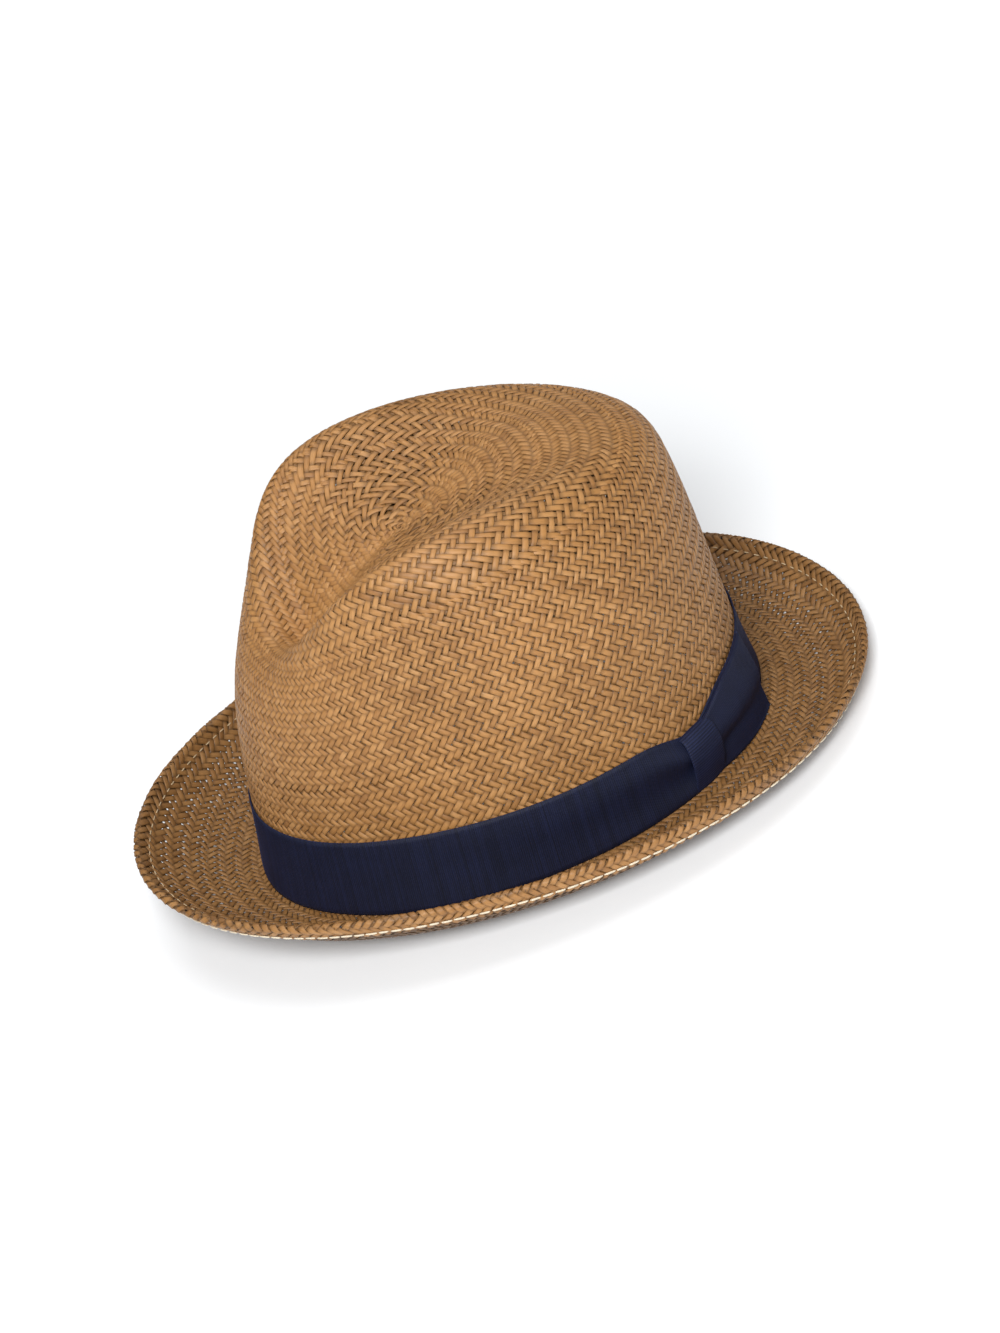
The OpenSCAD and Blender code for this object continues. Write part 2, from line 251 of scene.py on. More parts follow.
def grid_quads(nr, nc):
    first = np.arange(nr - 1)[:, None] * nc + np.arange(nc - 1)[None, :]
    return np.stack([first, first + 1, first + nc + 1, first + nc], -1).reshape(-1, 4)


# ---------------------------------------------------------------- materials
def new_mat(name):
    m = bpy.data.materials.new(name)
    m.use_nodes = True
    nt = m.node_tree
    nt.nodes.clear()
    out = nt.nodes.new("ShaderNodeOutputMaterial")
    b = nt.nodes.new("ShaderNodeBsdfPrincipled")
    nt.links.new(b.outputs[0], out.inputs[0])
    return m, nt, b


def node(nt, kind, **kw):
    n = nt.nodes.new(kind)
    for k, v in kw.items():
        if k in n.inputs.keys():
            n.inputs[k].default_value = v
        else:
            setattr(n, k, v)
    return n


def math_node(nt, op, a, b=None, c=None):
    n = node(nt, "ShaderNodeMath", operation=op)
    for i, x in enumerate((a, b, c)):
        if x is None:
            continue
        if isinstance(x, (int, float)):
            n.inputs[i].default_value = x
        else:
            nt.links.new(x, n.inputs[i])
    return n.outputs[0]


def mix_rgb(nt, fac, a, b, blend="MIX"):
    n = node(nt, "ShaderNodeMix", data_type="RGBA", blend_type=blend)
    for s, x in ((n.inputs[0], fac), (n.inputs[6], a), (n.inputs[7], b)):
        if isinstance(x, (int, float, tuple)):
            s.default_value = x
        else:
            nt.links.new(x, s)
    return n.outputs[2]


def srgb(r, g, b):
    f = lambda x: (x / 255 / 12.92) if x / 255 <= 0.04045 else ((x / 255 + 0.055) / 1.055) ** 2.4
    return (f(r), f(g), f(b), 1.0)


def scaled(nt, vec, sx, sy, sz):
    n = node(nt, "ShaderNodeVectorMath", operation="MULTIPLY")
    nt.links.new(vec, n.inputs[0])
    n.inputs[1].default_value = (sx, sy, sz)
    return n.outputs[0]


def straw_mat(name, dark=(128, 86, 46), mid=(166, 119, 68), light=(190, 144, 94)):
    """Folded paper straw: long fibres, a different tone on every strand, waxy low sheen."""
    m, nt, b = new_mat(name)
    at = node(nt, "ShaderNodeAttribute", attribute_name="strand")  # along mm, across -1..1, random
    sep = node(nt, "ShaderNodeSeparateXYZ")
    nt.links.new(at.outputs["Vector"], sep.inputs[0])
    tc = node(nt, "ShaderNodeTexCoord")
    fibre = node(nt, "ShaderNodeTexNoise", Scale=1.0, Detail=4.0, Roughness=0.6)
    nt.links.new(scaled(nt, at.outputs["Vector"], 0.35, 5.0, 37.0), fibre.inputs["Vector"])
    patch = node(nt, "ShaderNodeTexNoise", Scale=1.0, Detail=2.0)
    nt.links.new(scaled(nt, at.outputs["Vector"], 0.06, 0.2, 91.0), patch.inputs["Vector"])
    broad = node(nt, "ShaderNodeTexNoise", Scale=26.0, Detail=3.0)
    nt.links.new(tc.outputs["Object"], broad.inputs["Vector"])
    tone = math_node(nt, "ADD", math_node(nt, "MULTIPLY", sep.outputs[2], 0.22),
                     math_node(nt, "MULTIPLY", patch.outputs["Fac"], 0.66))
    ramp = node(nt, "ShaderNodeValToRGB")
    e = ramp.color_ramp.elements
    e[0].position, e[0].color = 0.12, srgb(*dark)
    e[1].position, e[1].color = 0.85, srgb(*light)
    k = ramp.color_ramp.elements.new(0.45)
    k.color = srgb(*mid)
    nt.links.new(tone, ramp.inputs[0])
    streak = node(nt, "ShaderNodeMapRange",
                  **{"From Min": 0.3, "From Max": 0.7, "To Min": 0.86, "To Max": 1.1})
    nt.links.new(fibre.outputs["Fac"], streak.inputs["Value"])
    edge = math_node(nt, "POWER", math_node(nt, "ABSOLUTE", sep.outputs[1]), 4.0)
    dark_edge = math_node(nt, "SUBTRACT", 1.0, math_node(nt, "MULTIPLY", edge, 0.42))
    gain = math_node(nt, "MULTIPLY", streak.outputs[0], dark_edge)
    dip = node(nt, "ShaderNodeAttribute", attribute_name="dip")  # 1 over, -1 under a crossing, for painted shade at the dips; the second value is the brim's painted shade
    # Painted shade: the colour darkens where a strand dives under the crossing one, and the attribute's
    # second value darkens the brim's upper face
    dive = node(nt, "ShaderNodeMapRange",
                **{"From Min": -0.3, "From Max": 0.9, "To Min": 0.5, "To Max": 1.02})
    split = node(nt, "ShaderNodeSeparateXYZ")
    nt.links.new(dip.outputs["Vector"], split.inputs[0])
    nt.links.new(split.outputs[0], dive.inputs["Value"])
    gain = math_node(nt, "MULTIPLY", gain, math_node(nt, "MULTIPLY", dive.outputs[0], split.outputs[1]))
    blotch = math_node(nt, "ADD", 0.86, math_node(nt, "MULTIPLY", broad.outputs["Fac"], 0.28))
    gain = math_node(nt, "MULTIPLY", gain, blotch)
    shade = node(nt, "ShaderNodeCombineColor")
    for i in range(3):
        nt.links.new(gain, shade.inputs[i])
    col = mix_rgb(nt, 1.0, ramp.outputs[0], shade.outputs[0], "MULTIPLY")
    nt.links.new(col, b.inputs["Base Color"])
    rough = node(nt, "ShaderNodeMapRange", **{"To Min": 0.36, "To Max": 0.6})
    nt.links.new(fibre.outputs["Fac"], rough.inputs["Value"])
    nt.links.new(rough.outputs[0], b.inputs["Roughness"])
    bump = node(nt, "ShaderNodeBump", Strength=0.6, Distance=0.00014)
    nt.links.new(fibre.outputs["Fac"], bump.inputs["Height"])
    nt.links.new(bump.outputs[0], b.inputs["Normal"])
    b.inputs["Specular IOR Level"].default_value = 0.36
    return m


def ribbon_mat(name, base=(7, 10, 27), light=(29, 37, 72)):
    """Grosgrain: the ribs are in the mesh and the fine warp on each rib is here.

    The "ribbon" attribute holds mm across the ribs, mm along them, and 1 on a crest to -1 in a groove.
    """
    m, nt, b = new_mat(name)
    at = node(nt, "ShaderNodeAttribute", attribute_name="ribbon")
    warp = node(nt, "ShaderNodeTexWave", wave_type="BANDS", bands_direction="Y", Scale=1.9,
                Distortion=1.2, Detail=2.0)
    warp.inputs["Detail Scale"].default_value = 3.0
    nt.links.new(scaled(nt, at.outputs["Vector"], 1.0, 1.0, 0.0), warp.inputs["Vector"])
    fuzz = node(nt, "ShaderNodeTexNoise", Scale=3.0, Detail=5.0, Roughness=0.65)
    nt.links.new(at.outputs["Vector"], fuzz.inputs["Vector"])
    wide = node(nt, "ShaderNodeTexNoise", Scale=0.11, Detail=2.0)
    nt.links.new(at.outputs["Vector"], wide.inputs["Vector"])
    t = math_node(nt, "MULTIPLY", warp.outputs["Fac"], fuzz.outputs["Fac"])
    t = math_node(nt, "ADD", t, math_node(nt, "MULTIPLY", wide.outputs["Fac"], 0.35))
    ramp = node(nt, "ShaderNodeValToRGB")
    e = ramp.color_ramp.elements
    e[0].position, e[0].color = 0.1, srgb(*base)
    e[1].position, e[1].color = 0.95, srgb(*light)
    nt.links.new(t, ramp.inputs[0])
    sep = node(nt, "ShaderNodeSeparateXYZ")
    nt.links.new(at.outputs["Vector"], sep.inputs[0])
    # Painted shade and highlight: the colour darkens in each rib's groove and lightens on its crest
    painted_rib_shade = node(nt, "ShaderNodeMapRange",
                  **{"From Min": -1.0, "From Max": 1.0, "To Min": 0.4, "To Max": 1.3})
    nt.links.new(sep.outputs[2], painted_rib_shade.inputs["Value"])
    shade = node(nt, "ShaderNodeCombineColor")
    for i in range(3):
        nt.links.new(painted_rib_shade.outputs[0], shade.inputs[i])
    nt.links.new(mix_rgb(nt, 1.0, ramp.outputs[0], shade.outputs[0], "MULTIPLY"), b.inputs["Base Color"])
    rough = node(nt, "ShaderNodeMapRange", **{"To Min": 0.5, "To Max": 0.74})
    nt.links.new(fuzz.outputs["Fac"], rough.inputs["Value"])
    nt.links.new(rough.outputs[0], b.inputs["Roughness"])
    bump = node(nt, "ShaderNodeBump", Strength=0.55, Distance=0.00006)
    nt.links.new(t, bump.inputs["Height"])
    nt.links.new(bump.outputs[0], b.inputs["Normal"])
    b.inputs["Sheen Weight"].default_value = 0.1
    b.inputs["Sheen Roughness"].default_value = 0.35
    b.inputs["Sheen Tint"].default_value = srgb(110, 125, 190)
    b.inputs["Specular IOR Level"].default_value = 0.3
    return m


def cloth_mat(name, rgb, pitch=1.0):
    """Plain cotton: fine over-and-under weave in the ribbon coordinates, faint stains and a soft nap."""
    m, nt, b = new_mat(name)
    at = node(nt, "ShaderNodeAttribute", attribute_name="ribbon")
    threads = []
    for axis in ("X", "Y"):
        w = node(nt, "ShaderNodeTexWave", wave_type="BANDS", bands_direction=axis, Scale=0.9 / pitch,
                 Distortion=0.8)
        nt.links.new(at.outputs["Vector"], w.inputs["Vector"])
        threads.append(w.outputs["Fac"])
    t = math_node(nt, "MAXIMUM", *threads)
    wear = node(nt, "ShaderNodeTexNoise", Scale=0.08, Detail=4.0)
    nt.links.new(at.outputs["Vector"], wear.inputs["Vector"])
    fuzz = node(nt, "ShaderNodeTexNoise", Scale=4.0, Detail=5.0)
    nt.links.new(at.outputs["Vector"], fuzz.inputs["Vector"])
    v = math_node(nt, "ADD", math_node(nt, "MULTIPLY", t, 0.3),
                  math_node(nt, "ADD", math_node(nt, "MULTIPLY", wear.outputs["Fac"], 0.45),
                            math_node(nt, "MULTIPLY", fuzz.outputs["Fac"], 0.25)))
    col = mix_rgb(nt, v, srgb(*(int(c * 0.78) for c in rgb)), srgb(*(min(255, int(c * 1.06)) for c in rgb)))
    nt.links.new(col, b.inputs["Base Color"])
    rough = node(nt, "ShaderNodeMapRange", **{"To Min": 0.72, "To Max": 0.92})
    nt.links.new(fuzz.outputs["Fac"], rough.inputs["Value"])
    nt.links.new(rough.outputs[0], b.inputs["Roughness"])
    bump = node(nt, "ShaderNodeBump", Strength=0.6, Distance=0.0001)
    nt.links.new(v, bump.inputs["Height"])
    nt.links.new(bump.outputs[0], b.inputs["Normal"])
    b.inputs["Sheen Weight"].default_value = 0.2
    return m


def metal_mat(name, rgb, rough):
    """Drawn metal with fine marks along it and dull patches."""
    m, nt, b = new_mat(name)
    tc = node(nt, "ShaderNodeTexCoord")
    n = node(nt, "ShaderNodeTexNoise", Scale=700.0, Detail=4.0)
    nt.links.new(tc.outputs["Object"], n.inputs["Vector"])
    col = mix_rgb(nt, n.outputs["Fac"], srgb(*(int(c * 0.75) for c in rgb)), srgb(*rgb))
    nt.links.new(col, b.inputs["Base Color"])
    r = node(nt, "ShaderNodeMapRange", **{"To Min": rough - 0.1, "To Max": rough + 0.15})
    nt.links.new(n.outputs["Fac"], r.inputs["Value"])
    nt.links.new(r.outputs[0], b.inputs["Roughness"])
    b.inputs["Metallic"].default_value = 1.0
    return m


def thread_mat(name, rgb):
    m, nt, b = new_mat(name)
    tc = node(nt, "ShaderNodeTexCoord")
    n = node(nt, "ShaderNodeTexNoise", Scale=900.0, Detail=4.0)
    nt.links.new(tc.outputs["Object"], n.inputs["Vector"])
    dark = tuple(int(c * 0.8) for c in rgb)
    col = mix_rgb(nt, n.outputs["Fac"], srgb(*dark), srgb(*rgb))
    nt.links.new(col, b.inputs["Base Color"])
    r = node(nt, "ShaderNodeMapRange", **{"To Min": 0.5, "To Max": 0.8})
    nt.links.new(n.outputs["Fac"], r.inputs["Value"])
    nt.links.new(r.outputs[0], b.inputs["Roughness"])
    bump = node(nt, "ShaderNodeBump", Strength=0.5, Distance=0.0001)
    nt.links.new(n.outputs["Fac"], bump.inputs["Height"])
    nt.links.new(bump.outputs[0], b.inputs["Normal"])
    b.inputs["Sheen Weight"].default_value = 0.2
    return m


# ---------------------------------------------------------------- woven straw
straw = straw_mat("paper_straw")
LENS = np.array([(-1, 0), (-0.74, 0.9), (0.74, 0.9), (1, 0), (0.74, -0.9), (-0.74, -0.9)], float)
STRAW_W, THICK = 2.4, 0.56
SUB = 2  # points per crossing
SWING = 0.31  # how far a strand swings out of the surface at a crossing
TUCK = 0.75  # how far the end of a zone dips, so that the next zone covers it
LOOSE, LOOSE_AT, LOOSE_W = 0.13, 26, 12  # the middle of the brim is woven more openly
BRIM_SHADE = 0.7  # painted shade: the brim's upper face darkened against its turned-under hem and the crown
CROWN_STRANDS, BRIM_STRANDS = 168, 212


def zone_w(u_ref):
    """Turn per mm of height, added up from u_ref: strands that follow it run at 45 degrees."""
    w = np.concatenate([[0], np.cumsum(DU / ((RHO[1:] + RHO[:-1]) / 2))])
    return w - np.interp(u_ref, U, w)


def weave_zone(n, u_ref, u_lo, u_hi, depth=1.0, dip_lo=False, dip_hi=False, cut=None, fill=0.93,
               widest=STRAW_W, uneven=0.13):
    """Both strand families of one zone, n strands each way in 2/2 twill: the strands' rings per family."""
    w = zone_w(u_ref)
    gap = 2 * np.pi / n
    r_lo = math.floor(np.interp(u_lo, U, w) / (gap / 2))
    r_hi = math.ceil(np.interp(u_hi, U, w) / (gap / 2))
    x = np.arange((r_hi - r_lo) * SUB + 1) / SUB + r_lo  # row number along a strand
    u = np.interp(x * gap / 2, w, U)
    rho = np.interp(u, U, RHO)
    pitch = rho * gap / math.sqrt(2)
    c = np.cos(2 * np.pi * (x - 0.5) / 4)
    wave = np.tanh(1.7 * c) / math.tanh(1.7)
    out = []
    for sgn in (1, -1):
        k = np.arange(n)[:, None]
        tone = rng.random((n, 1))
        ph = rng.random((n, 4)) * 2 * np.pi
        wob = (np.sin(0.31 * x[None] + ph[:, :1]) + np.sin(0.83 * x[None] + ph[:, 1:2])
               + 0.6 * np.sin(1.9 * x[None] + ph[:, 2:3])) * uneven
        psi = k * gap + sgn * x[None] * gap / 2 + wob / rho[None]
        uu = np.broadcast_to(u[None], psi.shape)
        p, nrm = surface(psi, uu)
        h = sgn * wave[None] * depth * (SWING + 0.04 * np.sin(0.7 * x[None] + ph[:, 3:4]))
        if dip_lo:
            h = h - TUCK * np.clip(1.5 - (x - x[0]), 0, 1)[None]
        if dip_hi:
            h = h - TUCK * np.clip(1.5 - (x[-1] - x), 0, 1)[None]
        centre = p + nrm * h[..., None]
        t = np.gradient(centre, axis=1)
        t /= np.linalg.norm(t, axis=2, keepdims=True) + 1e-9
        side = np.cross(nrm, t)
        side /= np.linalg.norm(side, axis=2, keepdims=True) + 1e-9
        upv = np.cross(t, side)
        loose = LOOSE * np.exp(-((u - LOOSE_AT) / LOOSE_W) ** 2)[None]
        width = np.minimum(widest, (fill - loose) * pitch[None]) * (1 + uneven * (rng.random((n, 1)) - 0.5))
        width = width * (1 + 0.06 * np.sin(0.57 * x[None] + ph[:, :1] * 2)
                         + 0.05 * np.sin(1.3 * x[None] + ph[:, 2:3]))
        ring = (centre[:, :, None] + side[:, :, None] * (LENS[None, None, :, :1] * width[..., None, None] / 2)
                + upv[:, :, None] * (LENS[None, None, :, 1:] * THICK / 2))
        pieces_mm = np.linalg.norm(np.diff(centre, axis=1), axis=2)
        along = np.concatenate([np.zeros((n, 1)), np.cumsum(pieces_mm, axis=1)], 1)
        at = np.stack([np.broadcast_to(along[..., None], ring.shape[:3]),
                       np.broadcast_to(LENS[None, None, :, 0], ring.shape[:3]),
                       np.broadcast_to(tone[..., None], ring.shape[:3])], -1)
        low = np.broadcast_to((sgn * wave[None])[..., None], ring.shape[:3])
        keep = np.ones(psi.shape, bool)
        brim_painted_shade = np.ones(psi.shape)
        if cut is not None:
            turn_at = np.append(np.arange(M) / M * 2 * np.pi, 2 * np.pi)
            end = np.interp(psi % (2 * np.pi), turn_at, np.append(cut, cut[0]))
            keep = uu < end
            # Painted shade: the brim's upper face is darker, rising to full tone across the fold onto the
            # turned-under hem
            brim_painted_shade = BRIM_SHADE + (1 - BRIM_SHADE) * np.clip((uu - end + HEM_W + 4) / 4, 0, 1)
        low = np.stack([low, np.broadcast_to(brim_painted_shade[..., None], low.shape), low], -1)
        out.append((ring, at, low, keep, u))
    return out


def strand_piece(name, ring, at, low, keep, lo, hi):
    """One mesh from the strands' rings lo to hi, closed at both ends, left out where keep is false."""
    ring, at, low, keep = ring[:, lo:hi], at[:, lo:hi], low[:, lo:hi], keep[:, lo:hi]
    n, m = ring.shape[:2]
    vid = np.arange(n * m * 6).reshape(n, m, 6)
    a, b = vid[:, :-1], vid[:, 1:]
    ok = keep[:, 1:] & keep[:, :-1]
    q = np.stack([a, np.roll(a, -1, 2), np.roll(b, -1, 2), b], -1)[ok].reshape(-1, 4)
    ends = []
    first = np.full(n, 0)
    last = np.where(keep.all(1), m - 1, np.argmin(keep, axis=1) - 1)
    for idx, rev in ((first, True), (last, False)):
        r = vid[np.arange(n), np.maximum(idx, 0)]
        e = np.concatenate([r[:, [0, 1, 2, 3]], r[:, [0, 3, 4, 5]]])
        ends.append(e[:, ::-1] if rev else e)
    q = np.concatenate([q] + ends)
    used = np.unique(q)
    remap = np.zeros(n * m * 6, int)
    remap[used] = np.arange(len(used))
    ob = mesh_from(name, ring.reshape(-1, 3)[used], remap[q], [straw],
                   {"strand": at.reshape(-1, 3)[used], "dip": low.reshape(-1, 3)[used]})
    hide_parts("straw_body")
    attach(ob, "root")
    return ob


def u_at_radius(rho):
    inner = np.arange(ROWS) < R0 - 60 / DU
    return float(np.interp(rho, RHO[inner], U[inner]))


# Toward the crown's centre the strands grow fewer: the radius where each ring starts, and its strands
cuts = [76, 57, 42, 30.5, 22, 15.5, 10.5, 6.5, 3.6]
counts = [124, 92, 68, 48, 36, 24, 16, 12, 8]
u_side = u_at_radius(cuts[0])
HIDE = -9.0  # the change of strand count lies under the band and behind the sweatband
for area_name, zone, marks in (
    ("crown", weave_zone(CROWN_STRANDS, 0.0, u_side, HIDE + 3, dip_lo=True, dip_hi=True), (u_side / 2,)),
    ("brim", weave_zone(BRIM_STRANDS, 0.0, HIDE - 3, float(U_END.max()), dip_lo=True, cut=U_END, fill=0.94,
                        widest=9.0, uneven=0.19), (28.0,)),
):
    for fam, (ring, at, low, keep, u) in zip("ab", zone):
        edges = [0] + [int(np.searchsorted(u, x)) for x in marks] + [len(u)]
        for i in range(len(edges) - 1):
            strand_piece(f"straw_{area_name}_{i}_{fam}", ring, at, low, keep, edges[i],
                         min(edges[i + 1] + 1, len(u)))
for z in range(len(counts)):
    hi = u_at_radius(cuts[z])
    lo = u_at_radius(cuts[z + 1]) if z + 1 < len(cuts) else u_at_radius(1.0)
    for fam, (ring, at, low, keep, u) in zip("ab", weave_zone(counts[z], hi, lo, hi + 2.2, depth=0.85,
                                                              dip_lo=z + 1 < len(cuts), dip_hi=True)):
        strand_piece(f"straw_tip_{z}_{fam}", ring, at, low, keep, 0, len(u))

# ---------------------------------------------------------------- ribbon
HT = np.arange(0, 46.0, 0.5)
wall = np.empty((len(HT), M, 3))
cw = flip[:260]
for j in range(M):
    z = np.concatenate([[0.0], cw[:, j, 2]])
    for k in range(3):
        v = np.concatenate([[cw[0, j, k]], cw[:, j, k]])
        wall[:, j, k] = np.interp(HT, z, v) if k < 2 else HT
wall = wall + lift
OUT = out_dir(phi)


def wall_pt(deg, z, d):
    """On the crown wall at deg round the hat and z above the turn's lowest line, pushed out by d."""
    c = psi_of(deg) / (2 * np.pi) * M
    r = np.clip(np.asarray(z, float) / 0.5, 0, len(HT) - 1.001)
    c, r = np.broadcast_arrays(c, r)
    i, j = np.floor(r).astype(int), np.floor(c).astype(int)
    a, b = (r - i)[..., None], (c - j)[..., None]
    k = (j + 1) % M
    j = j % M
    here, there = (wall[i, col] * (1 - a) + wall[i + 1, col] * a for col in (j, k))
    p = here * (1 - b) + there * b
    n = OUT[j] * (1 - b) + OUT[k] * b
    return p + n * np.asarray(d)[..., None]


KEEP_AT, BAND_H, RIB = 120.0, 31.5, 0.78
PER_DEG = ROUND / 360


def gauss(x, c, w):
    return np.exp(-((x - c) / w) ** 2)


def ribbon_piece(name, front, back, ribs_u, ribs_v, mat, slot_name, cad_nodes, crest=0.0):
    """A closed ribbon from its front and back grids, with rib coordinates in mm and 1 on a rib's crest, which
    the material paints as highlight on crests and shade in grooves.
    """
    nr, nc = front.shape[:2]
    v = np.concatenate([front.reshape(-1, 3), back.reshape(-1, 3)])
    f = grid_quads(nr, nc)
    g = f[:, ::-1] + nr * nc
    loop = np.concatenate([np.arange(nc), np.arange(1, nr) * nc + nc - 1,
                           (nr - 1) * nc + np.arange(nc - 2, -1, -1), np.arange(nr - 2, 0, -1) * nc])
    nxt = np.roll(loop, -1)
    rim = np.stack([nxt, loop, loop + nr * nc, nxt + nr * nc], -1)
    uv = np.stack([np.broadcast_to(ribs_u, (nr, nc)), np.broadcast_to(ribs_v, (nr, nc)),
                   np.broadcast_to(crest, (nr, nc))], -1)
    ob = mesh_from(name, v, np.concatenate([f, g, rim]), [mat],
                   {"ribbon": np.concatenate([uv.reshape(-1, 3)] * 2)})
    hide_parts(cad_nodes)
    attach(ob, "root")
    return ob


navy = ribbon_mat("navy_grosgrain")
navy_bow = ribbon_mat("navy_grosgrain_bow", (8, 11, 29), (31, 39, 75))
# The keeper's copy of the grosgrain is painted lighter, a painted highlight
navy_keeper_highlit = ribbon_mat("navy_grosgrain_keeper_highlit", (8, 11, 30), (38, 47, 86))

# Hat band, drawn in and pleated where it enters the keeper
n_rib = int((ROUND - 2) / RIB)
a_mm = np.linspace(1.0, ROUND - 1.0, n_rib * 4 + 1)
deg = (deg_of((a_mm + psi_of(KEEP_AT) / (2 * np.pi) * ROUND) / ROUND * 2 * np.pi))
dist = np.minimum(a_mm, ROUND - a_mm)
left = ROUND - a_mm  # distance to the keeper on its front side
ht = BAND_H + 0.8 - 7 * gauss(dist / PER_DEG, 0, 9)
band_v = np.linspace(0, 1, 16)[:, None]
z = 1.2 + (ht[None] - 1.2) * band_v
rib = np.cos(2 * np.pi * np.arange(len(a_mm)) / 4)[None]
uneven = np.repeat(rng.normal(0, 0.3, n_rib + 1), 4)[:len(a_mm)][None]  # no two ribs take the dye alike
selv = gauss(band_v, 0, 0.04) + gauss(band_v, 1, 0.04)
pull = np.exp(-np.maximum(left - 8, 0) / 20)[None]
fold_d = pull * (2.2 * gauss(band_v, 0.08, 0.14) + 3.8 * gauss(band_v, 0.74 - 0.08 * pull, 0.19))
ease = (0.22 * np.sin(a_mm / 31.0)[None] * band_v
        + (1.5 + 0.3 * np.sin(a_mm / 12.7 + 1)[None]) * (1 - band_v) ** 2)
d = 1.32 + ease + fold_d + 0.1 * rib * (1 - 0.4 * selv) + 0.07 * selv
band_back = d * 0 + 0.85 + fold_d * 0.9 + ease * 0.8
# The band's crest values carry the ribs' painted shade and highlight plus each rib's uneven dye
band = ribbon_piece("hat_band_ribbon", wall_pt(deg[None], z, d), wall_pt(deg[None], z, band_back),
                    a_mm[None], band_v * BAND_H, navy, "grosgrain", "hat_band",
                    rib * (1 - 0.6 * selv) + uneven)

# Bow wing: a folded length of ribbon, gathered at the keeper, its lower corner standing off
WING_DEG = 30.0
wing_u = np.linspace(0, 1, int(WING_DEG * PER_DEG / RIB) * 4 + 1)[None]
wing_v = np.linspace(0, 1, 25)[:, None]
w_deg = KEEP_AT + 1 + wing_u * (WING_DEG - 3.5 * (1 - wing_v) ** 1.5)
w_z = ((1.8 - 4.8 * wing_u ** 1.2 + 0.5 * np.sin(np.pi * wing_u)) * (1 - wing_v)
       + (32.6 - 6.8 * gauss(wing_u * WING_DEG, 0, 9)) * wing_v)
belly = (2.4 * np.exp(-((wing_v - 0.62 + 0.1 * wing_u) / 0.2) ** 2)
         * (0.55 + 0.75 * np.sin(np.pi * wing_u * 0.8)) * (1 - 0.6 * wing_u))
tuck = 1.5 * np.exp(-((wing_v - 0.33) / 0.1) ** 2) * (1 - 0.6 * wing_u)
w_d = (2.7 + belly - tuck + (3.4 * wing_u ** 2.2 + 1.9 * np.sin(np.pi * wing_u)) * (1 - wing_v) ** 1.6
       - 1.1 * wing_u ** 0.4 * wing_v ** 6)
under = brim_pt(np.radians(w_deg), w_d + STRAW_T)[..., 2] + 1.3  # stay clear of the brim below
w_z = np.maximum(w_z, under)
w_rib = 0.1 * np.cos(2 * np.pi * np.arange(wing_u.shape[1]) / 4)[None]
turn_in = 0.75 * gauss(wing_u, 1, 0.012)
wing = ribbon_piece("bow_wing_ribbon", wall_pt(w_deg, w_z, w_d + 1.3 + w_rib - turn_in),
                    wall_pt(w_deg, w_z, w_d + turn_in * 0.4), wing_u * WING_DEG * PER_DEG, wing_v * 27,
                    navy_bow, "grosgrain_bow", "bow_wing", w_rib * 10)

# Keeper: ribs run across it; both ends turn in past the band's edges
path = np.array([(2.2, 2.0), (1.2, 2.4), (0.9, 3.2), (1.9, 4.5), (4.8, 5.2), (9.5, 6.3), (15.5, 6.9),
                 (20.8, 6.3), (24.0, 5.1), (25.7, 3.4), (25.9, 2.3), (25.7, 1.4)], float)
knots_t = np.concatenate([[0], np.cumsum(np.linalg.norm(np.diff(path, axis=0), axis=1))])
n_across = int(knots_t[-1] / 1.1)
tt = np.linspace(0, knots_t[-1], n_across * 4 + 1)
fine = np.stack([np.interp(tt, knots_t, path[:, k]) for k in range(2)], -1)
for _ in range(14):
    fine[1:-1] = (fine[:-2] + fine[2:]) / 4 + fine[1:-1] / 2
tan = np.gradient(fine, axis=0)
tan /= np.linalg.norm(tan, axis=1, keepdims=True)
off = np.stack([-tan[:, 1], tan[:, 0]], -1)  # toward the front of the ribbon
if off[len(off) // 2, 1] < 0:
    off = -off
K = np.linspace(-1, 1, 21)[None]
k_deg = KEEP_AT + K * (7.6 / PER_DEG) * (1 + 0.08 * np.sin(np.pi * tt / tt[-1])[:, None] - 0.05)
k_rib = 0.15 * np.cos(2 * np.pi * np.arange(len(tt)) / 4)[:, None] + 0.05 * gauss(np.abs(K), 1, 0.08)
bow_out = 0.35 * (1 - K ** 2)
k_face = [fine[:, None] + off[:, None] * (q + bow_out)[..., None] for q in (0.3 + k_rib, -0.3 + 0 * k_rib)]
k_grids = (wall_pt(np.broadcast_to(k_deg, g.shape[:2]), g[..., 0], g[..., 1]) for g in k_face)
keeper = ribbon_piece("bow_keeper_ribbon", *k_grids,
                      tt[:, None], K * 8, navy_keeper_highlit, "grosgrain_keeper", "bow_keeper",
                      np.cos(2 * np.pi * np.arange(len(tt)) / 4)[:, None])


